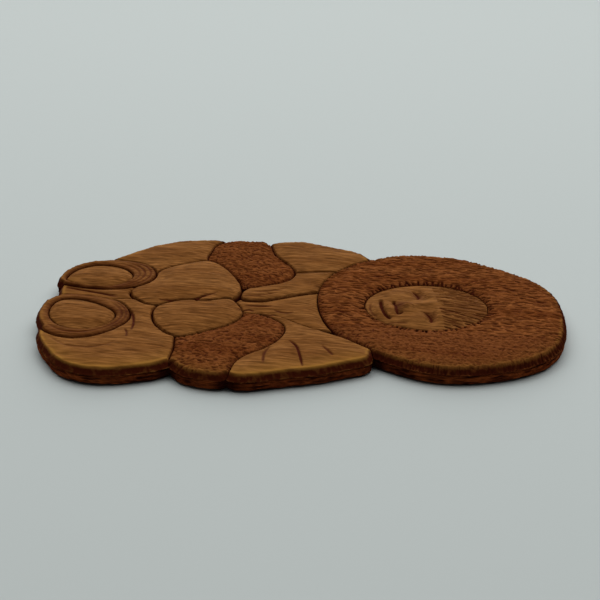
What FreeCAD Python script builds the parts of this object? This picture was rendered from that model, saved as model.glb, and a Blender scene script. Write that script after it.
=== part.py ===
import FreeCAD, Part
import math
import os

# A carved wooden relief doll that lies on its back: a seated figure in a fur-trimmed hooded parka.
#
# Separately carved pieces are glued side by side on one backing board. Each piece has its own smooth
# outline. Where two outlines overlap, the piece listed first in PIECES lies in front and keeps its
# shape, and the one behind is cut back to it by the width of a narrow seam.
#
# Millimetres. The head points to +X, the figure faces +Z, and its own left hand is on the -Y side.
# The origin is at the middle of the board's underside.

# Driving dimensions
BOARD_THICKNESS = 5.0
SEAM_GAP = 0.3
FACE_CENTRE = (57.9, 7.0)
FACE_HALF_LENGTH = 28.6
FACE_HALF_WIDTH = 22.0
HOOD_TILT = 5.0
HEAD_TILT = 19.0
NOSE_LENGTH = 12.0
NOSE_WIDTH = 9.0
EYE_LENGTH = 4.5
EYE_WIDTH = 10.0
EYE_SPACING = 23.0
MOUTH_WIDTH = 17.0
THUMB_CENTRE = (-41.8, 3.7)
THUMB_LENGTH = 11.0
THUMB_WIDTH = 8.0
FACE_POINTS = 12
GROWN_POINTS = 72
OUT = "parts"

UP = FreeCAD.Vector(0, 0, 1)
SIDEWAYS = FreeCAD.Vector(1, 0, 0)

# Each piece: the height of its crown above the board's underside, the radius of the dome that its top
# follows, the radius its rim is rounded to, and the points that its closed outline runs through,
# counter-clockwise.
PIECES = {
    "left_sole": (9.9, 250, 1.2, [
        (-116.4, -17.5), (-113.6, -27), (-107, -33.8), (-98.5, -36.2), (-90, -33.4), (-84.6, -26.5),
        (-84.8, -20), (-91, -13.6), (-99.5, -9.6), (-109, -8.2), (-114.6, -10.8),
    ]),
    "right_sole": (9.9, 250, 1.2, [
        (-116.8, 10.5), (-108, 6.8), (-97.5, 7), (-89, 11.6), (-86.4, 18.6), (-90.4, 24.8),
        (-98.5, 28.4), (-108, 27.6), (-115.2, 22), (-117.8, 15.4),
    ]),
    "left_welt": (9.4, 600, 1.0, [
        (-121.8, -16), (-121.4, -24), (-118, -32.8), (-110.5, -40.8), (-100, -44), (-90.5, -41.6),
        (-81.8, -33.8), (-77.4, -23.5), (-79.8, -14.5), (-87, -7.6), (-96.5, -4.8), (-108, -3.4),
        (-117, -5.6),
    ]),
    "right_welt": (9.4, 600, 1.0, [
        (-120.4, 7.4), (-110, 5.2), (-98, 4.4), (-86.6, 7), (-77.6, 13), (-75.4, 21.5),
        (-78.8, 28.8), (-86.5, 33.6), (-97.5, 35), (-107.5, 33.6), (-116, 28.4), (-121.2, 20),
        (-122.4, 12.5),
    ]),
    "left_mitten": (10.6, 150, 1.6, [
        (-66.3, -21.8), (-60.8, -30.3), (-52.3, -35.8), (-39.8, -29.5), (-30.8, -22.3), (-26.2, -11.3),
        (-28.8, -4.3), (-34.8, 2), (-44.8, -1.6), (-52.8, -1.2), (-61.3, -4.6), (-67.6, -10.8),
    ]),
    "right_mitten": (10.6, 220, 1.6, [
        (-79.3, 10.2), (-83, 1.7), (-77.8, -4.8), (-69.8, -8.6), (-58.8, -7.3), (-45.8, -4.8),
        (-33.8, 1.2), (-30.8, 11.2), (-34.3, 21.7), (-42.8, 33.7), (-52.8, 40.8), (-63.8, 35.8),
        (-73.3, 28.2), (-76.2, 19.2),
    ]),
    "left_cuff": (10.2, 450, 1.4, [
        (-48.6, -60.5), (-43, -64.6), (-33.4, -66.8), (-24.2, -65.8), (-22.4, -56.8), (-18.3, -48.4),
        (-10.3, -39.8), (-5.4, -30.3), (-5.2, -20.8), (-11.8, -13.8), (-24.8, -10.2), (-38.8, -18.8),
        (-52.2, -34), (-50.6, -48),
    ]),
    "right_cuff": (10.2, 400, 1.4, [
        (-53.6, 49.2), (-52.8, 40.2), (-40.8, 25.2), (-30.8, 14.8), (-19.8, 18.6), (-10.3, 25.2),
        (-8.4, 34.7), (-15.3, 45.2), (-23.3, 58.7), (-26.4, 65.8), (-35.8, 67.2), (-46.2, 65.6),
        (-52.6, 58.2),
    ]),
    "left_sleeve": (9.8, 600, 1.6, [
        (-22.8, -28.8), (-27.8, -50.8), (-22.8, -65.8), (-0.8, -61.6), (16.2, -55.6), (29.6, -48.6),
        (36.6, -43.6), (36.2, -37), (30.2, -32), (21.2, -26.4), (7.2, -20.4), (-2.8, -14.8),
        (-11.8, -10.4), (-20.8, -9.8),
    ]),
    "face": (10.4, 190, 1.6, []),
    "hood_ruff": (10.2, 1200, 1.8, [
        (122.5, -3), (121.6, 14), (116.4, 31), (105.5, 43.6), (91, 52.6), (74, 60), (56.6, 62.4),
        (39.2, 59.6), (24.2, 50.6), (12.2, 36.6), (6.4, 19.2), (7.8, 1.2), (14.2, -16.3),
        (26, -31.2), (39.8, -40.2), (53, -46), (67.5, -48.8), (83, -46.8), (98.6, -41), (111.4, -32.2),
        (119.6, -19.8),
    ]),
    "right_sleeve": (9.8, 400, 1.6, [
        (-21.8, 45.2), (-11.8, 33.8), (3.2, 36.4), (17.2, 38), (30.2, 45.4), (27.4, 55),
        (18.2, 62.4), (7.4, 65.4), (1.4, 67.2), (-5.2, 70), (-11.8, 70), (-19, 67.8), (-27.8, 63.4),
    ]),
    "right_chest_panel": (9.0, 600, 0.8, [
        (-26.8, 2.6), (-17.8, 3.8), (-4.8, 10.6), (7.2, 16.2), (16.2, 27.2), (11.2, 41.2), (-5.8, 35.2),
        (-17.8, 23.2), (-27.8, 14.2), (-30.4, 7.2),
    ]),
    "left_chest_panel": (8.8, 600, 0.8, [
        (-28.8, -9.8), (-20.8, -13.8), (-6.8, -14.8), (5.2, -18.8), (18.2, -20.8), (21.2, -8.8),
        (12.2, 14.2), (-0.8, 18.2), (-22.8, 8.2), (-31.8, 1.2),
    ]),
    "left_leg": (9.9, 500, 2.0, [
        (-107, -14.8), (-110, -26), (-115.5, -35.5), (-116, -40), (-113.8, -46.5),
        (-108, -55), (-98.8, -64.6), (-91.5, -68.4), (-83, -70), (-72.8, -68.9), (-60.8, -65),
        (-51, -59.4), (-46.2, -47), (-53.8, -26.8), (-62.8, -10.8), (-74.8, -5), (-84.8, -4.4), (-95.8, -7.2),
    ]),
    "right_leg": (9.9, 450, 2.0, [
        (-88.8, 21.2), (-66.8, 21.2), (-50.8, 33.2), (-43.8, 53.2), (-47.8, 64.6), (-58.8, 65.4),
        (-71.8, 62.4), (-84.8, 54.6), (-95.8, 42.8), (-102.8, 32.2),
    ]),
    "right_boot_side": (8.8, 600, 0.8, [
        (-119.6, 8.2), (-118.4, 0.2), (-115.6, -6.8), (-104.8, -8.8), (-86.8, -7.2), (-76.8, -3.8),
        (-78.8, 6.2), (-92.8, 11.2), (-112.8, 11.2),
    ]),
}


def smooth_curve(points):
    """A closed curve through all the points, with no corner."""
    curve = Part.BSplineCurve()
    curve.interpolate(Points=points, PeriodicFlag=True)
    return curve


def on_face(along, across, height=0.0, tilt=HEAD_TILT):
    """A point given from the middle of the face: towards the brow, and towards its right cheek."""
    offset = FreeCAD.Rotation(UP, tilt).multVec(FreeCAD.Vector(along, across, height))
    return FreeCAD.Vector(*FACE_CENTRE, 0) + offset


def face_points():
    """The oval opening of the hood, which leans less than the head does."""
    turns = [2 * math.pi * step / FACE_POINTS for step in range(FACE_POINTS)]
    return [on_face(FACE_HALF_LENGTH * math.cos(turn), FACE_HALF_WIDTH * math.sin(turn), tilt=HOOD_TILT)
            for turn in turns]


def outline_curve(name):
    """The closed outline of a piece, counter-clockwise."""
    if name == "face":
        return smooth_curve(face_points())
    return smooth_curve([FreeCAD.Vector(x, y, 0) for x, y in PIECES[name][3]])


def grown_curve(curve, distance):
    """A closed curve that stays a fixed distance outside another."""
    start, end = curve.FirstParameter, curve.LastParameter
    grown = []
    for step in range(GROWN_POINTS):
        parameter = start + (end - start) * step / GROWN_POINTS
        outward = curve.tangent(parameter)[0].cross(UP)
        grown.append(curve.value(parameter) + outward * distance)
    return smooth_curve(grown)


def flat_plate(curve):
    return Part.Face(Part.Wire([curve.toShape()]))


def prism(plate, bottom, top):
    """A straight-sided solid between two heights, from a flat plate at height zero."""
    plate = plate.copy()
    plate.translate(UP * bottom)
    return plate.extrude(UP * (top - bottom))


def ellipsoid(centre, length, width, height):
    """An egg shape that leans with the head."""
    ball = Part.makeSphere(0.5)
    stretch = FreeCAD.Matrix()
    stretch.scale(length, width, height)
    ball = ball.transformGeometry(stretch)
    ball.rotate(FreeCAD.Vector(0, 0, 0), UP, HEAD_TILT)
    ball.translate(centre)
    return ball


def domed_blank(name):
    """A piece before its neighbours cut into it: a domed top with a rounded rim, and straight sides.

    The ball that shapes the dome is turned so that its poles and its seam are nowhere near the top.
    """
    crown, dome_radius, rim_radius, _ = PIECES[name]
    block = prism(flat_plate(outline_curve(name)), BOARD_THICKNESS, crown + 1)
    middle = block.CenterOfMass
    dome = Part.makeSphere(dome_radius)
    dome.rotate(FreeCAD.Vector(0, 0, 0), SIDEWAYS, 90)
    dome.translate(FreeCAD.Vector(middle.x, middle.y, crown - dome_radius))
    block = block.common(dome)
    rim = [edge for edge in block.Edges
           if edge.BoundBox.ZMin > BOARD_THICKNESS + 1e-3 and edge.BoundBox.ZMax < crown - 1e-3]
    return block.makeFillet(rim_radius, rim)


def seam_cutter(name):
    """The space that a piece in front takes from those behind it."""
    plate = flat_plate(grown_curve(outline_curve(name), SEAM_GAP))
    return prism(plate, BOARD_THICKNESS - 1, BOARD_THICKNESS + 20)


def carved_piece(name, cutters):
    """One piece of the relief, cut back to the pieces in front of it."""
    solid = domed_blank(name)
    for cutter in cutters:
        if cutter.BoundBox.intersect(solid.BoundBox):
            solid = solid.cut(cutter)
    return max(solid.Solids, key=lambda each: each.Volume)


def add_features(face):
    """The nose stands up from the face. The eyes and the mouth are cut into it."""
    surface = PIECES["face"][0]
    nose = ellipsoid(on_face(-9, 0, surface - 1.2), NOSE_LENGTH, NOSE_WIDTH, 4.6)
    face = face.fuse(nose)
    for side in (-1, 1):
        eye = ellipsoid(on_face(-2.5, side * EYE_SPACING / 2, surface - 0.2), EYE_LENGTH, EYE_WIDTH, 1.8)
        face = face.cut(eye)
    mouth = ellipsoid(on_face(-20, 0, surface - 1.5), 2.0, MOUTH_WIDTH, 2.0)
    return face.cut(mouth)


def add_thumb(mitten):
    """The right thumb lies along the mitten's near edge as a low bulge."""
    thumb = Part.makeSphere(0.5)
    stretch = FreeCAD.Matrix()
    stretch.scale(THUMB_LENGTH, THUMB_WIDTH, 4.0)
    thumb = thumb.transformGeometry(stretch)
    thumb.translate(FreeCAD.Vector(*THUMB_CENTRE, PIECES["right_mitten"][0] - 2.0))
    return mitten.fuse(thumb)


def backing_board():
    """The board under every piece, with the whole figure's outline and no hole."""
    plates = [flat_plate(outline_curve(name)) for name in PIECES]
    union = plates[0].fuse(plates[1:]).removeSplitter()
    return prism(Part.Face(union.Faces[0].OuterWire), 0, BOARD_THICKNESS)


def save(shape, name):
    print(f"{name:18s} solids {len(shape.Solids)}  valid {shape.isValid()}  {shape.Volume:9.1f} mm3")
    shape.exportStep(f"{OUT}/{name}.step")


def main():
    os.makedirs(OUT, exist_ok=True)
    save(backing_board(), "backing_board")
    cutters = []
    for name in PIECES:
        piece = carved_piece(name, cutters)
        if name == "face":
            piece = add_features(piece)
        if name == "right_mitten":
            piece = add_thumb(piece)
        save(piece, name)
        cutters.append(seam_cutter(name))


main()
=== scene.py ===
import math

import bpy
import numpy as np
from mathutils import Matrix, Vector
from mathutils.geometry import delaunay_2d_cdt


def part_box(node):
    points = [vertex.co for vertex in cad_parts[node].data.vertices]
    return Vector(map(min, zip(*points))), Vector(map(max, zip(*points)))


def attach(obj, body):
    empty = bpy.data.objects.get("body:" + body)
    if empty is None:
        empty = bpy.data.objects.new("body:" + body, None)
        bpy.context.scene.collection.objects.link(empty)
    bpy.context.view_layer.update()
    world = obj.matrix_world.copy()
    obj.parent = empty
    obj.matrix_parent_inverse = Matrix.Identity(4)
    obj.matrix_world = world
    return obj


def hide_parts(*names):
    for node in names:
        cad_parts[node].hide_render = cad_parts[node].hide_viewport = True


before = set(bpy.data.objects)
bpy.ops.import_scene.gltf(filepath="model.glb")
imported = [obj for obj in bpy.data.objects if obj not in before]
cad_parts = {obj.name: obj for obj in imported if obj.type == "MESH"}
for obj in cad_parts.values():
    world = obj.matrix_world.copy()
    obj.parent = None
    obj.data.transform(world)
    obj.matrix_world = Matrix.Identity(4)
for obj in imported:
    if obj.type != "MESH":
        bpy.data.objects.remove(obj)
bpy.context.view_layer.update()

# The carved pieces are sculpted as height maps over the imported CAD outlines. Each CAD node gives its own
# outline in plan. One fine grid over the whole figure holds the height of the carving, how dark it is,
# from the stain in its cuts and painted shade in its hollows, notches and edges, and how worn it is.
# Lengths are in millimetres until a mesh is made.

MM = 0.001
CELL = 0.32
OUTLINE_STEP = 0.34
BOARD_STEP = 0.4
BOARD_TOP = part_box("backing_board")[1].z / MM
RANDOM = np.random.default_rng(20)

# What each piece is like: the height at its edge, how far it domes and over what width, its material,
# and the depth of the V that parts it from its neighbours.
PIECES = {
    "hood_ruff": dict(edge=8.9, dome=1.0, width=12.0, look="fur_wood", seam=1.2),
    "face": dict(edge=8.2, dome=1.5, width=15.0, look="smooth_wood", seam=0.7),
    "left_sleeve": dict(edge=8.5, dome=1.1, width=14.0, look="smooth_wood", seam=1.5),
    "right_sleeve": dict(edge=8.5, dome=1.1, width=14.0, look="smooth_wood", seam=1.5),
    "left_cuff": dict(edge=8.6, dome=1.4, width=12.0, look="fur_wood", seam=1.3),
    "right_cuff": dict(edge=8.6, dome=1.4, width=12.0, look="fur_wood", seam=1.3),
    "left_mitten": dict(edge=8.5, dome=1.9, width=13.0, look="smooth_wood", seam=1.9),
    "right_mitten": dict(edge=8.5, dome=1.9, width=15.0, look="smooth_wood", seam=1.9),
    "left_chest_panel": dict(edge=7.6, dome=0.9, width=8.0, look="smooth_wood", seam=1.3),
    "right_chest_panel": dict(edge=8.3, dome=0.9, width=6.0, look="smooth_wood", seam=1.7),
    "left_leg": dict(edge=8.5, dome=1.2, width=16.0, look="smooth_wood", seam=1.6),
    "right_leg": dict(edge=8.4, dome=1.2, width=14.0, look="smooth_wood", seam=1.4),
    "right_boot_side": dict(edge=7.9, dome=0.5, width=4.0, look="smooth_wood", seam=1.5),
    "left_welt": dict(edge=8.6, dome=0.7, width=3.0, look="trim_wood", seam=1.2),
    "right_welt": dict(edge=8.6, dome=0.7, width=3.0, look="trim_wood", seam=1.2),
    "left_sole": dict(edge=8.1, dome=1.6, width=9.0, look="smooth_wood", seam=1.0),
    "right_sole": dict(edge=8.1, dome=1.6, width=9.0, look="smooth_wood", seam=1.0),
}
# The neighbours that run into each other, with only a faint seam between them.
SOFT_SEAMS = (("left_cuff", "left_mitten"), ("left_cuff", "left_sleeve"),
              ("hood_ruff", "right_sleeve"), ("hood_ruff", "right_chest_panel"),
              ("hood_ruff", "left_chest_panel"), ("hood_ruff", "face"),
              ("left_sole", "left_welt"), ("right_sole", "right_welt"))
SEAM_HALF_WIDTH = 0.8
NOTCH_REACH = 5
RIM_WIDTH = 2.1
RIM_DROP = 3.3


# ---- plan outlines -----------------------------------------------------------------------------

def bottom_loops(node):
    """The closed outlines, in plan, of the flat underside of a CAD node: the outer one and any holes."""
    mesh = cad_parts[node].data
    mesh.calc_loop_triangles()
    points = np.array([v.co[:] for v in mesh.vertices]) / MM
    corners, welded = np.unique(np.round(points, 3), axis=0, return_inverse=True)
    welded = np.ravel(welded)
    triangles = welded[np.array([t.vertices[:] for t in mesh.loop_triangles])]
    floor = corners[:, 2].min() + 0.01
    flat = triangles[(corners[triangles][:, :, 2] < floor).all(axis=1)]
    edges = set()
    for a, b, c in flat.tolist():
        edges.update([(a, b), (b, c), (c, a)])
    onward = {b: a for a, b in edges if (b, a) not in edges}
    loops = []
    while onward:
        start, here = onward.popitem()
        loop = [start]
        while here != start:
            loop.append(here)
            here = onward.pop(here)
        loops.append(corners[loop][:, :2])
    return sorted(loops, key=lambda loop: -np.ptp(loop[:, 0]))


def resample(loop, step):
    """The same closed line with evenly spaced points."""
    closed = np.vstack([loop, loop[:1]])
    along = np.r_[0, np.cumsum(np.hypot(*np.diff(closed, axis=0).T))]
    count = max(12, int(round(along[-1] / step)))
    at = np.linspace(0, along[-1], count, endpoint=False)
    return np.c_[np.interp(at, along, closed[:, 0]), np.interp(at, along, closed[:, 1])]


def inside(loops, x, y):
    """Which points of the grid lie within the outlines."""
    found = np.zeros(x.shape, bool)
    rows = y[:, 0]
    for loop in loops:
        ahead = np.roll(loop, -1, axis=0)
        for (x0, y0), (x1, y1) in zip(loop, ahead):
            if y0 == y1:
                continue
            low, high = min(y0, y1), max(y0, y1)
            first, last = np.searchsorted(rows, [low, high])
            for row in range(first, last):
                cross = x0 + (rows[row] - y0) * (x1 - x0) / (y1 - y0)
                found[row] ^= x[row] > cross
    return found


def distance_to(points, line):
    """How far each point is from the nearest point of a finely sampled line."""
    result = np.empty(len(points))
    for start in range(0, len(points), 4000):
        part = points[start:start + 4000]
        apart = (part[:, None, 0] - line[None, :, 0]) ** 2 + (part[:, None, 1] - line[None, :, 1]) ** 2
        result[start:start + 4000] = np.sqrt(apart.min(axis=1))
    return result


# ---- the grid ----------------------------------------------------------------------------------

low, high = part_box("backing_board")
X_LINE = np.arange(low.x / MM - 2, high.x / MM + 2, CELL)
Y_LINE = np.arange(low.y / MM - 2, high.y / MM + 2, CELL)
X, Y = np.meshgrid(X_LINE, Y_LINE)

relief = np.zeros(X.shape)
# How dark each spot is: stain in the cuts and on some pieces, and painted shade in hollows, notches,
# grooves and on the outside edge.
stain_and_shade = np.zeros(X.shape)
worn = np.zeros(X.shape)
outlines = {node: [resample(loop, OUTLINE_STEP) for loop in bottom_loops(node)] for node in PIECES}
board_outline = [resample(bottom_loops("backing_board")[0], BOARD_STEP)]
masks = {node: inside(loops, X, Y) for node, loops in outlines.items()}

edge_distance = np.zeros(X.shape)
for node, mask in masks.items():
    spots = np.c_[X[mask], Y[mask]]
    edge_distance[mask] = distance_to(spots, np.vstack(outlines[node]))
rim_distance = np.full(X.shape, 99.0)
whole = inside(board_outline, X, Y)
rim_distance[whole] = distance_to(np.c_[X[whole], Y[whole]], board_outline[0])
rim_distance_filled = np.where(whole, rim_distance, 0.0)

# How far each spot faces the figure's left, judged by its nearest outside edge.
facing_left = np.clip(0.3 + 1.1 * np.gradient(rim_distance_filled, CELL, axis=0), 0, 1)


def notches(loop):
    """The points of the figure's outline where it turns sharply inwards."""
    ahead, behind = np.roll(loop, -8, axis=0) - loop, loop - np.roll(loop, 8, axis=0)
    turn = ahead[:, 1] * behind[:, 0] - ahead[:, 0] * behind[:, 1]
    return loop[turn < -0.35 * np.hypot(*ahead.T) * np.hypot(*behind.T)]


NOTCHES = notches(board_outline[0])


def window(x0, x1, y0, y1):
    """The part of the grid that covers a rectangle."""
    columns = slice(*np.searchsorted(X_LINE, [x0, x1]))
    rows = slice(*np.searchsorted(Y_LINE, [y0, y1]))
    return rows, columns


def sample(field, points):
    """A grid field's values at any plan points."""
    column = np.clip((points[:, 0] - X_LINE[0]) / CELL, 0, len(X_LINE) - 1.001)
    row = np.clip((points[:, 1] - Y_LINE[0]) / CELL, 0, len(Y_LINE) - 1.001)
    i, j = row.astype(int), column.astype(int)
    u, v = row - i, column - j
    near = field[i, j] * (1 - v) + field[i, j + 1] * v
    far = field[i + 1, j] * (1 - v) + field[i + 1, j + 1] * v
    return near * (1 - u) + far * u


def smooth_noise(x, y, seed):
    """Soft random hills, one per unit of x and y, between -1 and 1."""
    table = np.random.default_rng(seed).uniform(-1, 1, (64, 64))
    i, j = np.floor(x).astype(int), np.floor(y).astype(int)
    u, v = x - i, y - j
    u, v = u * u * (3 - 2 * u), v * v * (3 - 2 * v)
    i, j, i1, j1 = i % 64, j % 64, (i + 1) % 64, (j + 1) % 64
    return ((table[i, j] * (1 - u) + table[i1, j] * u) * (1 - v)
            + (table[i, j1] * (1 - u) + table[i1, j1] * u) * v)


def place(node, points):
    """Plan points given as shares of a CAD node's box: 0, 0 is towards the feet and the left hand."""
    corner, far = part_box(node)
    return [((corner.x + (far.x - corner.x) * u) / MM, (corner.y + (far.y - corner.y) * v) / MM)
            for u, v in points]


def curve(points, step=0.25):
    """A smooth open line through a few points."""
    points = np.array(points, float)
    padded = np.vstack([2 * points[0] - points[1], points, 2 * points[-1] - points[-2]])
    pieces = []
    for p0, p1, p2, p3 in zip(padded, padded[1:], padded[2:], padded[3:]):
        count = max(2, int(np.hypot(*(p2 - p1)) / step))
        t = np.linspace(0, 1, count, endpoint=False)[:, None]
        pieces.append(0.5 * (2 * p1 + (p2 - p0) * t + (2 * p0 - 5 * p1 + 4 * p2 - p3) * t ** 2
                             + (3 * p1 - p0 - 3 * p2 + p3) * t ** 3))
    return np.vstack(pieces + [points[-1:]])


def cut_line(points, half_width, depth, dark=1.0, taper=0.25):
    """A knife cut along a smooth line, which runs out at both ends unless its taper is nothing."""
    line = curve(points)
    reach = half_width * 1.5
    area = window(line[:, 0].min() - reach, line[:, 0].max() + reach,
                  line[:, 1].min() - reach, line[:, 1].max() + reach)
    x, y = X[area], Y[area]
    apart = (x[..., None] - line[:, 0]) ** 2 + (y[..., None] - line[:, 1]) ** 2
    along = apart.argmin(axis=-1) / (len(line) - 1)
    away = np.sqrt(apart.min(axis=-1)) / half_width
    strength = np.sqrt(np.clip(np.minimum(along, 1 - along) / taper, 0, 1)) if taper else 1.0
    cut = np.clip(1 - away, 0, 1) * strength
    relief[area] -= depth * cut
    stain_and_shade[area] = np.maximum(stain_and_shade[area], dark * np.clip(cut * 1.4, 0, 1))


def mound(x0, y0, along, across, height, angle=0.0):
    """A soft bump, or a hollow where its height is negative, longest along its angle in degrees."""
    reach = 2.6 * max(along, across)
    area = window(x0 - reach, x0 + reach, y0 - reach, y0 + reach)
    turn = math.radians(angle)
    dx, dy = X[area] - x0, Y[area] - y0
    u = dx * math.cos(turn) + dy * math.sin(turn)
    v = dy * math.cos(turn) - dx * math.sin(turn)
    relief[area] += height * np.exp(-((u / along) ** 2 + (v / across) ** 2))


def strokes(spots, angles, lengths, widths, depths, mask, dark=0.95):
    """Short V-shaped gouge cuts. Where two cross, the deeper one stays."""
    cuts = np.zeros(X.shape)
    for (x0, y0), angle, length, width, depth in zip(spots, angles, lengths, widths, depths):
        reach = length / 2 + width
        area = window(x0 - reach, x0 + reach, y0 - reach, y0 + reach)
        dx, dy = X[area] - x0, Y[area] - y0
        u = (dx * math.cos(angle) + dy * math.sin(angle)) / (length / 2)
        v = (dy * math.cos(angle) - dx * math.sin(angle)) / width
        shape = np.clip(1 - np.abs(v), 0, 1) * np.sqrt(np.clip(1 - u * u, 0, 1))
        cuts[area] = np.maximum(cuts[area], depth * shape)
    relief[mask] -= cuts[mask]
    stain_and_shade[mask] = np.maximum(stain_and_shade[mask], dark * np.clip(cuts[mask] / 0.7, 0, 1))


def scattered(mask, spacing_x, spacing_y):
    """Points spread over a piece, evenly but not in rows."""
    x, y = np.meshgrid(np.arange(X_LINE[0], X_LINE[-1], spacing_x),
                       np.arange(Y_LINE[0], Y_LINE[-1], spacing_y))
    x = x + RANDOM.uniform(-0.5, 0.5, x.shape) * spacing_x
    y = y + RANDOM.uniform(-0.5, 0.5, y.shape) * spacing_y
    points = np.c_[x.ravel(), y.ravel()]
    return points[sample(mask.astype(float), points) > 0.5]


def between(low, high, count):
    """This many random numbers in a range."""
    return RANDOM.uniform(low, high, count)


# ---- the carving -------------------------------------------------------------------------------

def carve_fur(mask, lean, scatter, spacing, length, strength=1.0):
    """Deep strokes that mostly follow one direction, with finer ones between them."""
    for share, depth in ((1.0, 0.95 * strength), (0.55, 0.4 * strength)):
        spots = scattered(mask, spacing[0] * share, spacing[1] * share)
        count = len(spots)
        strokes(spots, lean + RANDOM.normal(0, scatter, count),
                between(0.7, 1.3, count) * length * share,
                between(0.5, 0.85, count) * (0.5 + 0.5 * share),
                between(0.4, 1.0, count) * depth, mask)


def carve_edge_fur(line, step, length, depth, scatter, mask):
    """Strokes that stand square to an edge and notch it."""
    ring = resample(line, step)
    ahead = np.roll(ring, -1, axis=0) - np.roll(ring, 1, axis=0)
    square = np.arctan2(ahead[:, 1], ahead[:, 0]) + math.pi / 2
    count = len(ring)
    strokes(ring + RANDOM.normal(0, 0.3, ring.shape), square + RANDOM.normal(0, scatter, count),
            between(0.6, 1.3, count) * length, between(0.5, 0.85, count),
            between(0.6, 1.2, count) * depth, mask)


def carve_ruff():
    """Fur round the hood: rays at the face and at the rim, and strokes along the grain between them."""
    mask = masks["hood_ruff"]
    outer, inner = outlines["hood_ruff"]
    middle = inner.mean(axis=0)
    near = mask & (Y < middle[1] - 24)
    carve_fur(mask & ~near, 0.0, 0.2, (4.4, 2.0), 5.0)
    carve_fur(near, 0.1, 0.55, (2.2, 1.4), 2.6, 0.75)
    stain_and_shade[near] = np.maximum(stain_and_shade[near], 0.33)
    carve_edge_fur(inner, 2.2, 6.4, 1.7, 0.34, mask)
    carve_edge_fur(outer, 2.0, 5.0, 1.0, 0.25, mask)


def carve_cuff(node, lean, darkening):
    """Short fur strokes that lean one way, with notches across the cuff's edge."""
    mask = masks[node]
    carve_fur(mask, math.radians(lean), 0.45, (2.5, 1.5), 3.0, 0.85)
    carve_edge_fur(outlines[node][0], 1.8, 3.6, 0.7, 0.3, mask)
    stain_and_shade[mask] = np.maximum(stain_and_shade[mask], darkening)


FACE_TILT = 19.0


def carve_face():
    """Brow, closed eyes, nose, mouth and chin, laid out along the tilted middle line of the face."""
    corner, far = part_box("face")
    x0, y0 = (corner.x + far.x) / 2 / MM, (corner.y + far.y) / 2 / MM
    turn = math.radians(FACE_TILT)

    def on_face(u, v):
        return (x0 + u * math.cos(turn) - v * math.sin(turn),
                y0 + u * math.sin(turn) + v * math.cos(turn))

    def feature(u, v, along, across, height, lean=0.0):
        mound(*on_face(u, v), along, across, height, FACE_TILT + lean)

    def line(points, *more, **named):
        cut_line([on_face(u, v) for u, v in points], *more, **named)

    feature(8, 0, 7, 13, 0.5)
    for side in (-1, 1):
        feature(-1.2, side * 11.3, 3.2, 5.4, -1.5, side * 6)
        feature(-4.3, side * 12.6, 2.0, 3.4, 0.9, side * 6)
        feature(3.4, side * 9.5, 2.2, 6.0, 0.6, side * 8)
        feature(-12.0, side * 12.0, 5.0, 4.6, 0.8)
        line([(-3.0, side * 6.2), (-1.3, side * 8.6), (-1.0, side * 12.2), (-2.4, side * 15.8)],
             1.2, 0.9, dark=0.85, taper=0.2)
        line([(-12.6, side * 5.0), (-15.0, side * 5.4), (-18.0, side * 8.6)],
             1.0, 0.35, dark=0.25, taper=0.5)
        feature(-14.6, side * 4.9, 1.0, 1.5, -0.9)
    feature(-2.0, -0.3, 6.0, 2.0, 1.0)
    feature(-9.6, -0.6, 3.2, 3.3, 2.0)
    feature(-12.2, side * 3.0, 1.6, 1.8, 0.3)
    line([(-12.4, -5.0), (-14.9, -4.9), (-14.9, -2.0), (-14.4, 1.0), (-14.5, 4.2), (-13.6, 6.4)],
         1.2, 0.8, dark=0.95, taper=0.1)
    feature(-17.4, 0.2, 1.9, 5.4, 1.1)
    line([(-19.0, -8.6), (-20.2, -6.6), (-20.9, -3.6), (-21.0, 0.5), (-20.5, 5.0), (-19.6, 9.4)],
         1.25, 1.6, dark=1.0, taper=0.1)
    feature(-23.4, 0.5, 1.7, 4.6, 0.9)
    line([(-25.0, -6.0), (-26.4, -1.0), (-26.2, 4.0), (-24.4, 8.0)], 0.8, 0.4, dark=0.5)
    line([(-22.5, -11.5), (-18.0, -12.5), (-13.0, -14.8)], 0.8, 0.4, dark=0.6)
    # The nose's dark underside: partly end-grain stain, partly painted shade.
    stain_and_shade_patch(*on_face(-12.6, 0.8), 2.6, 4.4, 0.62)
    stain_and_shade_patch(*on_face(-9.8, 1.0), 2.8, 2.4, 0.45)
    # Painted shade in the eye hollows.
    for side in (-1, 1):
        stain_and_shade_patch(*on_face(-1.2, side * 9.6), 2.7, 5.0, 0.55)
    stain_and_shade_patch(*on_face(21.0, -2.0), 12.0, 18.0, 0.32)
    carve_fringe(on_face)


def stain_and_shade_patch(x0, y0, along, across, dark):
    """A soft darker patch: stain drunk by the wood on the fringe, painted shade in the eye hollows, and
    under the nose partly end-grain stain and partly painted shade.
    """
    turn = math.radians(FACE_TILT)
    u = (X - x0) * math.cos(turn) + (Y - y0) * math.sin(turn)
    v = (Y - y0) * math.cos(turn) - (X - x0) * math.sin(turn)
    stain_and_shade[:] = np.maximum(stain_and_shade, dark * np.exp(-((u / along) ** 2 + (v / across) ** 2)))


def carve_fringe(on_face):
    """Fine strokes along the grain, where fur and hair come down over the forehead."""
    brow_x, brow_y = on_face(5.5, 0)
    fringe = masks["face"] & ((X - brow_x) * math.cos(0.2) + (Y - brow_y) * math.sin(0.2) > 0)
    spots = scattered(fringe, 4.4, 1.9)
    count = len(spots)
    fan = (spots[:, 1] - brow_y) * 0.012
    strokes(spots, fan + RANDOM.normal(0, 0.1, count), between(4.5, 9.0, count),
            between(0.5, 0.8, count), between(0.4, 1.0, count), fringe)


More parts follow.
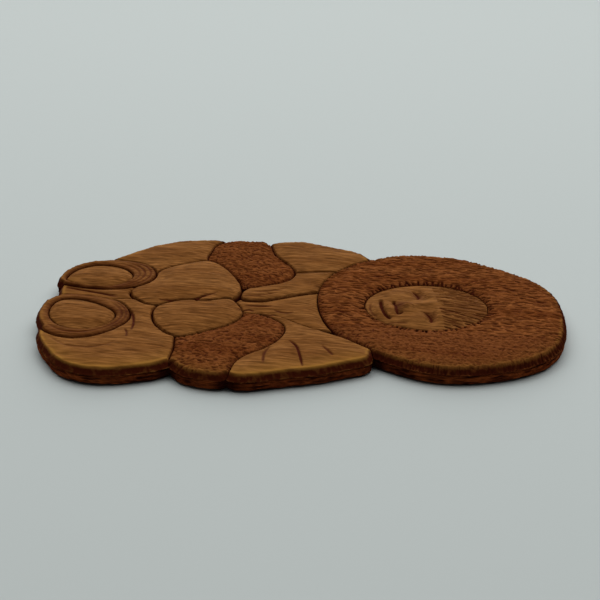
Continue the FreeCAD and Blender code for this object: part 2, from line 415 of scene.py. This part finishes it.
def carve_creases():
    """The folds in the sleeves, the legs, the mittens and the parka's front."""
    cut_line(place("left_sleeve", [(0.37, 0.57), (0.43, 0.49), (0.47, 0.38), (0.52, 0.2)]), 0.9, 0.8)
    cut_line(place("left_sleeve", [(0.24, 0.46), (0.22, 0.35), (0.235, 0.19)]), 1.0, 0.5, dark=0.7)
    cut_line(place("left_sleeve", [(0.62, 0.51), (0.67, 0.45), (0.72, 0.38)]), 1.0, 0.45, dark=0.7)
    mound(*place("left_sleeve", [(0.33, 0.36)])[0], 4.0, 7.0, 0.5, 15)
    cut_line(place("left_leg", [(0.57, 0.84), (0.62, 0.72), (0.645, 0.62), (0.655, 0.52)]),
             0.95, 0.7, dark=0.85)
    cut_line(place("left_leg", [(0.60, 0.55), (0.63, 0.50), (0.645, 0.43)]), 0.8, 0.5, dark=0.7)
    cut_line(place("left_leg", [(0.10, 0.40), (0.28, 0.27), (0.48, 0.28), (0.6, 0.38)]),
             1.2, 0.4, dark=0.35)
    cut_line(place("left_leg", [(0.05, 0.30), (0.2, 0.18), (0.4, 0.14), (0.62, 0.2)]),
             1.6, 0.25, dark=0.1)
    cut_line(place("right_boot_side", [(0.06, 0.66), (0.3, 0.5), (0.55, 0.36), (0.78, 0.22)]),
             1.2, 1.0)
    cut_line(place("right_mitten", [(0.30, 0.08), (0.45, 0.115), (0.6, 0.165), (0.70, 0.22),
                                    (0.80, 0.30)]), 0.9, 0.7, dark=0.9)
    cut_line(place("right_mitten", [(0.63, 0.10), (0.655, 0.19), (0.72, 0.25)]), 0.9, 0.6, dark=0.9)
    mound(*place("right_mitten", [(0.76, 0.17)])[0], 5.0, 2.6, 0.5, 20)
    mound(*place("right_sleeve", [(0.40, 0.68)])[0], 3.4, 9.0, -0.6, 12)
    mound(*place("right_sleeve", [(0.16, 0.70)])[0], 3.0, 8.0, 0.4, 12)
    mound(*place("right_sleeve", [(0.62, 0.62)])[0], 4.0, 8.0, 0.35, 20)
    for points in ([(0.28, 0.30), (0.36, 0.27), (0.46, 0.28)],
                   [(0.10, 0.52), (0.26, 0.50), (0.38, 0.53)],
                   [(0.40, 0.42), (0.52, 0.38), (0.60, 0.40)],
                   [(0.05, 0.36), (0.16, 0.40), (0.22, 0.37)]):
        cut_line(place("left_chest_panel", points), 0.9, 0.45, dark=0.7)
    for points in ([(0.02, 0.10), (0.20, 0.12), (0.42, 0.24)],
                   [(0.10, 0.22), (0.3, 0.26), (0.5, 0.38)]):
        cut_line(place("right_chest_panel", points), 0.9, 0.4, dark=0.5)


def ring_between(welt, share, start, end):
    """Part of a line round a boot's sole, a share of the way from the sole to the outside of its welt."""
    outer, inner = outlines[welt]
    middle = inner.mean(axis=0)
    angles = np.radians(np.linspace(start, end, 24))

    def radius(loop):
        away = loop - middle
        turns = np.arctan2(away[:, 1], away[:, 0])
        return np.interp(angles, turns, np.hypot(*away.T), period=2 * math.pi)

    size = radius(inner) + (radius(outer) - radius(inner)) * share
    return middle + np.c_[np.cos(angles), np.sin(angles)] * size[:, None]


def carve_boots():
    """Lines scored round the soles, closest together towards the ankles."""
    cut_line(ring_between("left_welt", 0.45, -140, 45), 1.3, 0.6, dark=0.6)
    cut_line(ring_between("left_welt", 0.75, -60, 60), 1.1, 0.5, dark=0.55)
    cut_line(ring_between("left_welt", 0.55, 60, 150), 1.0, 0.3, dark=0.35)
    cut_line(ring_between("right_welt", 0.28, -60, 70), 1.0, 0.5, dark=0.5)
    cut_line(ring_between("right_welt", 0.52, -70, 60), 1.0, 0.5, dark=0.6)
    cut_line(ring_between("right_welt", 0.78, -75, 75), 1.0, 0.5, dark=0.6)
    for node in ("left_welt", "right_welt"):
        # Each welt is a little darker all over, with painted shade along both edges, where they run down
        # into the grooves.
        darkening = 0.16 + 0.3 * np.exp(-(edge_distance[masks[node]] / 1.3) ** 2)
        stain_and_shade[masks[node]] = np.maximum(stain_and_shade[masks[node]], darkening)


def undulate():
    """The slight waves that a knife leaves in the wood, longer along the grain."""
    relief[:] += 0.08 * smooth_noise(X / 12, Y / 4.3, 3) + 0.07 * smooth_noise(X / 6, Y / 1.9, 4)


def roughen_rim():
    """Breaks the outside edge with short chips, darkens the edge band, and rubs the crest above it pale.

    The edge band's darkness is partly stain and partly painted shade on its steep slope, and the chips
    that stand out keep painted highlights. The wood also yellows a little near the figure's left side, and
    the notches in its outline are darkened with painted shade.
    """
    chips = 0.6 * smooth_noise(X / 1.6, Y / 1.2, 5) + 0.4 * smooth_noise(X / 0.8, Y / 0.7, 6)
    edge = np.clip(1 - rim_distance / RIM_WIDTH, 0, 1)
    relief[:] += 0.6 * chips * np.sqrt(edge) * np.clip(rim_distance / 0.5, 0, 1)
    # Darkens the edge band: partly stain, partly painted shade on its steep slope; the chips that stand
    # out stay lighter as painted highlights.
    stain_and_shade[:] = np.maximum(stain_and_shade, np.clip(edge * 3.0, 0, 1) * np.clip(0.90 - 0.6 * chips, 0.66, 1))
    crest = np.exp(-((rim_distance - RIM_WIDTH - 0.4) / 0.9) ** 2)
    worn[:] = crest * np.clip(0.6 + 0.7 * smooth_noise(X / 5, Y / 2, 7), 0, 1)
    yellowed = 0.45 * facing_left * np.exp(-(rim_distance / 11) ** 2)
    worn[:] += yellowed * np.clip(rim_distance - 1.2, 0, 1)
    # Painted shade in the notches of the outline.
    notch = np.full(X.shape, 99.0)
    close = rim_distance < 4
    notch[close] = distance_to(np.c_[X[close], Y[close]], NOTCHES)
    in_notch = np.exp(-(notch / NOTCH_REACH) ** 2)
    stain_and_shade[:] = np.maximum(stain_and_shade, in_notch * np.clip(1.4 - rim_distance / 2.5, 0, 1))


def soften_seams():
    """How strongly each spot's seam is cut: faint between the soft neighbours, strong elsewhere."""
    strength = 0.88 + 0.3 * smooth_noise(X / 7, Y / 7, 8) + 0.3 * smooth_noise(X / 2.2, Y / 2.2, 9)
    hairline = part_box("face")[1].x / MM - 16
    for pair in SOFT_SEAMS:
        for node, neighbour in (pair, pair[::-1]):
            close = masks[node] & (edge_distance < 1.6)
            apart = distance_to(np.c_[X[close], Y[close]], np.vstack(outlines[neighbour]))
            faint = 0.5 * (np.clip(1 - (X[close] - hairline) / 12, 0.3, 1) if "face" in pair else 1.0)
            strength[close] *= np.where(apart < edge_distance[close] + 0.8, faint, 1.0)
    return strength


undulate()
carve_face()
carve_creases()
carve_boots()
carve_ruff()
carve_cuff("left_cuff", 12, 0.22)
carve_cuff("right_cuff", -8, 0.1)
roughen_rim()
seam_strength = soften_seams()


def surface_height(node, apart, rim_apart, near, strength, carved):
    """The height of a piece's top at a distance from its own edge and from the whole figure's edge.

    The outside edge slopes steeply where it faces the figure's left, and is rounded elsewhere.
    """
    piece = PIECES[node]
    swell = piece["dome"] * (1 - (1 - np.clip(apart / piece["width"], 0, 1)) ** 2)
    half_width = SEAM_HALF_WIDTH * (0.65 + 0.45 * strength)
    seam = piece["seam"] * strength * np.clip(1 - apart / half_width, 0, 1) ** 1.2
    into = 1 - np.clip(rim_apart / RIM_WIDTH, 0, 1)
    rounded = 1 - np.sqrt(1 - into ** 2)
    sloped = into ** 0.75
    rim = RIM_DROP * (rounded + (sloped - rounded) * near)
    return np.maximum(piece["edge"] + swell - np.maximum(seam, rim) + carved, BOARD_TOP + 0.25)


# ---- meshes ------------------------------------------------------------------------------------

WALL_RINGS = 5
BOARD_RINGS = 18
BEVEL_HEIGHT = 1.2
BEVEL_DEPTH = 1.5


def outward_of(loop, stride):
    """The sideways direction out of the figure at each point of a counter-clockwise outline."""
    tangent = np.roll(loop, -stride, axis=0) - np.roll(loop, stride, axis=0)
    tangent /= np.maximum(np.hypot(*tangent.T), 1e-6)[:, None]
    return np.c_[tangent[:, 1], -tangent[:, 0]]


def fill(loops, extra):
    """Triangles that cover the area between outlines, using the outlines' points and then the extra ones.

    Each outline has the area on its left, so the triangles that hold one of its steps the same way round
    belong to the area, and so do the ones next to them, up to the outlines.
    """
    rim = np.vstack(loops)
    points = np.vstack([rim, extra]) if len(extra) else rim
    steps, start = [], 0
    for loop in loops:
        span = list(range(start, start + len(loop)))
        steps += list(zip(span, span[1:] + span[:1]))
        start += len(loop)
    triangles = delaunay_2d_cdt([Vector(p) for p in points.tolist()], steps, [], 0, 1e-6)[2]
    owner = {}
    for number, (a, b, c) in enumerate(triangles):
        owner[a, b] = owner[b, c] = owner[c, a] = number
    border, kept = set(steps), set()
    waiting = [owner[step] for step in steps]
    while waiting:
        number = waiting.pop()
        if number in kept:
            continue
        kept.add(number)
        a, b, c = triangles[number]
        waiting += [owner[end, begin] for begin, end in ((a, b), (b, c), (c, a))
                    if (begin, end) not in border and (end, begin) in owner]
    return np.array([triangles[number] for number in sorted(kept)])


def band(above, here):
    """The faces between two rings of points, one below the other."""
    return [(above[k - 1], here[k - 1], here[k], above[k]) for k in range(len(here))]


def make_object(name, vertices, faces, fields):
    mesh = bpy.data.meshes.new(name)
    mesh.from_pydata((vertices * MM).tolist(), [], faces)
    mesh.shade_smooth()
    for field, values in fields.items():
        attribute = mesh.attributes.new(field, "FLOAT", "POINT")
        attribute.data.foreach_set("value", values.astype(np.float32))
    thing = bpy.data.objects.new(name, mesh)
    bpy.context.scene.collection.objects.link(thing)
    return thing


def top_of(node):
    """The carved top of a piece: its points, how dark each one is from stain and painted shade, and how
    worn.
    """
    rim = np.vstack(outlines[node])
    body = masks[node] & (edge_distance > 0.55 * CELL)
    rim_apart = sample(rim_distance_filled, rim)
    rim_z = surface_height(node, np.zeros(len(rim)), rim_apart, sample(facing_left, rim),
                           sample(seam_strength, rim), sample(relief, rim))
    body_z = surface_height(node, edge_distance[body], rim_distance[body], facing_left[body],
                            seam_strength[body], relief[body])
    inner = np.clip((rim_distance[body] - 0.4) / 1.2, 0, 1)
    parted = np.clip(seam_strength[body] * 1.5 - 0.55, 0, 1)
    seam = np.clip(1.15 - edge_distance[body] / 0.6, 0, 1) * parted * inner
    rim_stain_and_shade = np.where(rim_apart > 1.2, np.clip(sample(seam_strength, rim) * 1.5 - 0.3, 0, 1),
                         sample(stain_and_shade, rim))
    points = np.vstack([np.c_[rim, rim_z], np.c_[X[body], Y[body], body_z]])
    stains_and_shade = np.r_[rim_stain_and_shade, np.maximum(stain_and_shade[body], seam)]
    return points, rim_apart, stains_and_shade, np.r_[np.zeros(len(rim)), worn[body]]


def carved_piece(node, seed):
    """A closed mesh of one piece: its carved top, its sides and its flat underside on the board."""
    loops = outlines[node]
    top, rim_apart, stains_and_shade, worn_top = top_of(node)
    rim_count = len(rim_apart)
    faces = fill(loops, top[rim_count:, :2]).tolist()
    vertices, marks, wear = [top], [stains_and_shade], [worn_top]
    total = len(top)
    lowest, start = [], 0
    for loop in loops:
        here = list(range(start, start + len(loop)))
        shows = np.clip(1 - rim_apart[start:start + len(loop)] / 1.2, 0, 1)
        sideways = outward_of(loop, 2)
        along = np.arange(len(loop)) * OUTLINE_STEP
        top_z = top[start:start + len(loop), 2]
        start += len(loop)
        for step in range(1, WALL_RINGS + 1):
            share = step / WALL_RINGS
            z = top_z + (BOARD_TOP - top_z) * share
            rough = smooth_noise(along / 2.2, z / 0.6, seed)
            push = (0.25 * rough - 0.45 * share ** 3) * shows
            above, here = here, list(range(total, total + len(loop)))
            vertices.append(np.c_[loop + sideways * push[:, None], z])
            # Outside walls get painted highlights where the hacked wall stands out and painted shade lower
            # down, towards the board; walls inside seams are fully dark.
            streaked = np.clip(0.8 - 0.5 * rough + 0.5 * share ** 3, 0, 1)
            marks.append(np.where(shows > 0.3, streaked, 1.0))
            wear.append(np.zeros(len(loop)))
            faces += band(above, here)
            total += len(loop)
        lowest += here
    faces += np.array(lowest)[fill(loops, [])][:, ::-1].tolist()
    return make_object(node + "_carved", np.vstack(vertices), faces,
                       {"stain_and_shade": np.concatenate(marks), "worn": np.concatenate(wear)})


def carved_board():
    """The backing board: flat above and below, its edge hacked roughly along the grain and cut under."""
    loop = board_outline[0]
    sideways = outward_of(loop, 2)
    along = np.arange(len(loop)) * BOARD_STEP
    count = len(loop)
    # Painted shade in the notches of the outline.
    hollow = np.exp(-(distance_to(loop, NOTCHES) / NOTCH_REACH) ** 2)
    vertices, marks, faces = [], [], []
    for ring in range(BOARD_RINGS + 1):
        z = BOARD_TOP * (1 - ring / BOARD_RINGS)
        height = np.full(count, z)
        rough = (0.5 * smooth_noise(along / 7.0, height / 0.9, 31)
                 + 0.5 * smooth_noise(along / 2.6, height / 0.45, 32))
        crack = np.clip(0.5 + 0.8 * smooth_noise(along / 11.0, np.zeros(count), 33), 0.15, 1)
        recess = 0.8 * crack * math.exp(-((BOARD_TOP - z) / 0.45) ** 2)
        under = BEVEL_DEPTH * max(0.0, 1 - z / BEVEL_HEIGHT)
        inwards = recess + under + 0.5 - 0.5 * rough
        vertices.append(np.c_[loop - sideways * inwards[:, None], height])
        # Painted shade and light on the board's edge: darker in the recess under the pieces and black
        # along the undercut at the bottom, lighter where the hacked edge stands out.
        shade = (0.28 - 1.1 * rough + 0.8 * crack * math.exp(-((BOARD_TOP - z) / 0.5) ** 2)
                 + math.exp(-(z / 0.9) ** 2))
        marks.append(np.clip(np.maximum(shade, hollow), 0, 1))
        if ring:
            above = list(range((ring - 1) * count, ring * count))
            faces += band(above, list(range(ring * count, (ring + 1) * count)))
    flat = fill([loop], [])
    faces += flat.tolist()
    faces += (flat[:, ::-1] + BOARD_RINGS * count).tolist()
    stains_and_shade = np.concatenate(marks)
    return make_object("backing_board_carved", np.vstack(vertices), faces,
                       {"stain_and_shade": stains_and_shade, "worn": np.zeros(len(stains_and_shade))})


# ---- materials ---------------------------------------------------------------------------------

class Shading:
    """A short way to build the nodes of one material."""

    def __init__(self, name, roughness):
        self.material = bpy.data.materials.new(name)
        self.material.use_nodes = True
        self.nodes = self.material.node_tree.nodes
        self.shader = self.nodes["Principled BSDF"]
        self.shader.inputs["Roughness"].default_value = roughness
        self.shader.inputs["Specular IOR Level"].default_value = 0.01
        self.place = self.nodes.new("ShaderNodeTexCoord").outputs["Object"]

    def link(self, source, target):
        self.material.node_tree.links.new(source, target)

    def noise(self, scale, detail, offset=0.0):
        """Random mottling, stretched so that it is this fine in each direction."""
        mapping = self.nodes.new("ShaderNodeMapping")
        mapping.inputs["Scale"].default_value = scale
        mapping.inputs["Location"].default_value = (offset, offset, offset)
        texture = self.nodes.new("ShaderNodeTexNoise")
        texture.inputs["Scale"].default_value = 1.0
        texture.inputs["Detail"].default_value = detail
        self.link(self.place, mapping.inputs["Vector"])
        self.link(mapping.outputs["Vector"], texture.inputs["Vector"])
        return texture.outputs["Fac"]

    def ramp(self, source, low, high, low_colour=(0, 0, 0), high_colour=(1, 1, 1)):
        node = self.nodes.new("ShaderNodeValToRGB")
        first, last = node.color_ramp.elements
        first.position, first.color = low, (*low_colour, 1)
        last.position, last.color = high, (*high_colour, 1)
        self.link(source, node.inputs["Fac"])
        return node.outputs["Color"]

    def mix(self, factor, a, b, kind="MIX"):
        """Two colours blended. Each one, and the factor, is a plain value or another node's output."""
        node = self.nodes.new("ShaderNodeMix")
        node.data_type = "RGBA"
        node.blend_type = kind
        for socket, value in ((node.inputs[0], factor), (node.inputs[6], a), (node.inputs[7], b)):
            if isinstance(value, tuple):
                socket.default_value = (*value, 1)
            elif isinstance(value, float):
                socket.default_value = value
            else:
                self.link(value, socket)
        return node.outputs[2]

    def carved(self, field):
        node = self.nodes.new("ShaderNodeAttribute")
        node.attribute_name = field
        return node.outputs["Fac"]

    def bump(self, height, distance):
        node = self.nodes.new("ShaderNodeBump")
        node.inputs["Strength"].default_value = 0.6
        node.inputs["Distance"].default_value = distance
        self.link(height, node.inputs["Height"])
        self.link(node.outputs["Normal"], self.shader.inputs["Normal"])


def wood(name, light, middle, deep, rubbed, roughness, streaks):
    """Stained wood, grained along X: darker in its cuts, where it is stained and under painted shade, and
    paler where its crests are rubbed.
    """
    look = Shading(name, roughness)
    broad = look.noise((9, 120, 90), 2.0)
    fibres = look.noise((95, 1000, 800), 5.0, 3.0)
    fine = look.noise((260, 2300, 1800), 3.0, 7.0)
    flecks = look.noise((80, 1250, 900), 1.5, 11.0)
    colour = look.mix(look.ramp(broad, 0.36, 0.64), middle, light)
    streaked = look.ramp(fibres, 0.32, 0.66, (0.50, 0.44, 0.36), (1.40, 1.44, 1.50))
    colour = look.mix(streaks, colour, streaked, "MULTIPLY")
    speckled = look.ramp(fine, 0.30, 0.70, (0.62, 0.58, 0.50), (1.34, 1.36, 1.40))
    colour = look.mix(streaks * 0.8, colour, speckled, "MULTIPLY")
    dashes = look.ramp(flecks, 0.59, 0.68, (0, 0, 0), (0.6, 0.6, 0.6))
    colour = look.mix(dashes, colour, tuple(part * 0.42 for part in middle))
    rubbing = look.ramp(look.carved("worn"), 0.15, 0.95, (0, 0, 0), (0.75, 0.75, 0.75))
    colour = look.mix(rubbing, colour, rubbed)
    # The stain attribute darkens towards the deep colour: it holds real stain and painted shade.
    stain_and_shade_amount = look.ramp(look.carved("stain_and_shade"), 0.04, 0.85, (0, 0, 0), (0.97, 0.97, 0.97))
    colour = look.mix(stain_and_shade_amount, colour, deep)
    look.link(colour, look.shader.inputs["Base Color"])
    look.link(look.ramp(fibres, 0.3, 0.7, (roughness + 0.12,) * 3, (roughness - 0.08,) * 3),
              look.shader.inputs["Roughness"])
    look.bump(fibres, 0.00022)
    return look.material


MATERIALS = {
    "smooth_wood": wood("smooth_wood", light=(0.225, 0.091, 0.0225), middle=(0.172, 0.064, 0.0135),
                        deep=(0.054, 0.0075, 0.0025), rubbed=(0.36, 0.168, 0.030),
                        roughness=0.62, streaks=0.85),
    "trim_wood": wood("trim_wood", light=(0.210, 0.081, 0.019), middle=(0.155, 0.054, 0.011),
                      deep=(0.054, 0.0075, 0.0025), rubbed=(0.27, 0.115, 0.022),
                      roughness=0.62, streaks=0.8),
    "fur_wood": wood("fur_wood", light=(0.235, 0.077, 0.0185), middle=(0.180, 0.052, 0.0105),
                     deep=(0.050, 0.0075, 0.0025), rubbed=(0.30, 0.125, 0.026),
                     roughness=0.7, streaks=0.6),
    "backing_wood": wood("backing_wood", light=(0.27, 0.062, 0.015), middle=(0.165, 0.032, 0.008),
                         deep=(0.028, 0.004, 0.0015), rubbed=(0.13, 0.04, 0.012),
                         roughness=0.75, streaks=0.8),
}


def finish_piece(thing, node, look):
    thing.data.materials.append(MATERIALS[look])
    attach(thing, "root")
    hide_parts(node)


for number, node in enumerate(PIECES):
    finish_piece(carved_piece(node, 40 + number), node, PIECES[node]["look"])
finish_piece(carved_board(), "backing_board", "backing_wood")


# ---- floor, light and camera -------------------------------------------------------------------

def make_floor():
    size = 6.0
    mesh = bpy.data.meshes.new("floor")
    corners = [(-size, -size, 0), (size, -size, 0), (size, size, 0), (-size, size, 0)]
    mesh.from_pydata(corners, [], [(0, 1, 2, 3)])
    floor = bpy.data.objects.new("floor", mesh)
    bpy.context.scene.collection.objects.link(floor)
    material = bpy.data.materials.new("floor_paper")
    material.use_nodes = True
    shader = material.node_tree.nodes["Principled BSDF"]
    shader.inputs["Base Color"].default_value = (0.52, 0.565, 0.553, 1)
    shader.inputs["Roughness"].default_value = 0.9
    shader.inputs["Specular IOR Level"].default_value = 0.1
    mesh.materials.append(material)


def add_area_light(name, position, width, depth, power):
    """A softbox that faces the middle of the figure."""
    light = bpy.data.lights.new(name, "AREA")
    light.shape = "RECTANGLE"
    light.size = width
    light.size_y = depth
    light.energy = power
    lamp = bpy.data.objects.new(name, light)
    lamp.location = position
    lamp.rotation_euler = (-Vector(position)).to_track_quat("-Z", "Y").to_euler()
    bpy.context.scene.collection.objects.link(lamp)


def add_world(strength):
    world = bpy.data.worlds.new("studio")
    world.use_nodes = True
    background = world.node_tree.nodes["Background"]
    background.inputs["Color"].default_value = (1, 1, 1, 1)
    background.inputs["Strength"].default_value = strength
    bpy.context.scene.world = world


def add_camera(azimuth, elevation, distance, target, lens):
    turn, rise = math.radians(azimuth), math.radians(elevation)
    back = Vector((math.sin(turn) * math.cos(rise), -math.cos(turn) * math.cos(rise), math.sin(rise)))
    data = bpy.data.cameras.new("camera")
    data.sensor_width = 36.0
    data.lens = lens
    data.clip_start = 0.01
    camera = bpy.data.objects.new("camera", data)
    camera.location = Vector(target) + back * distance
    camera.rotation_euler = back.to_track_quat("Z", "Y").to_euler()
    bpy.context.scene.collection.objects.link(camera)
    bpy.context.scene.camera = camera


make_floor()
add_world(0.04)
add_area_light("overhead", (0.0, 0.45, 1.4), 3.2, 1.7, 32.0)
add_area_light("behind", (0.0, 3.1, 1.2), 5.5, 2.2, 65.0)
add_camera(8.0, 28.0, 0.610, (-0.0038, 0.0212, 0.0), 75.0)
bpy.context.scene.view_settings.view_transform = "Standard"
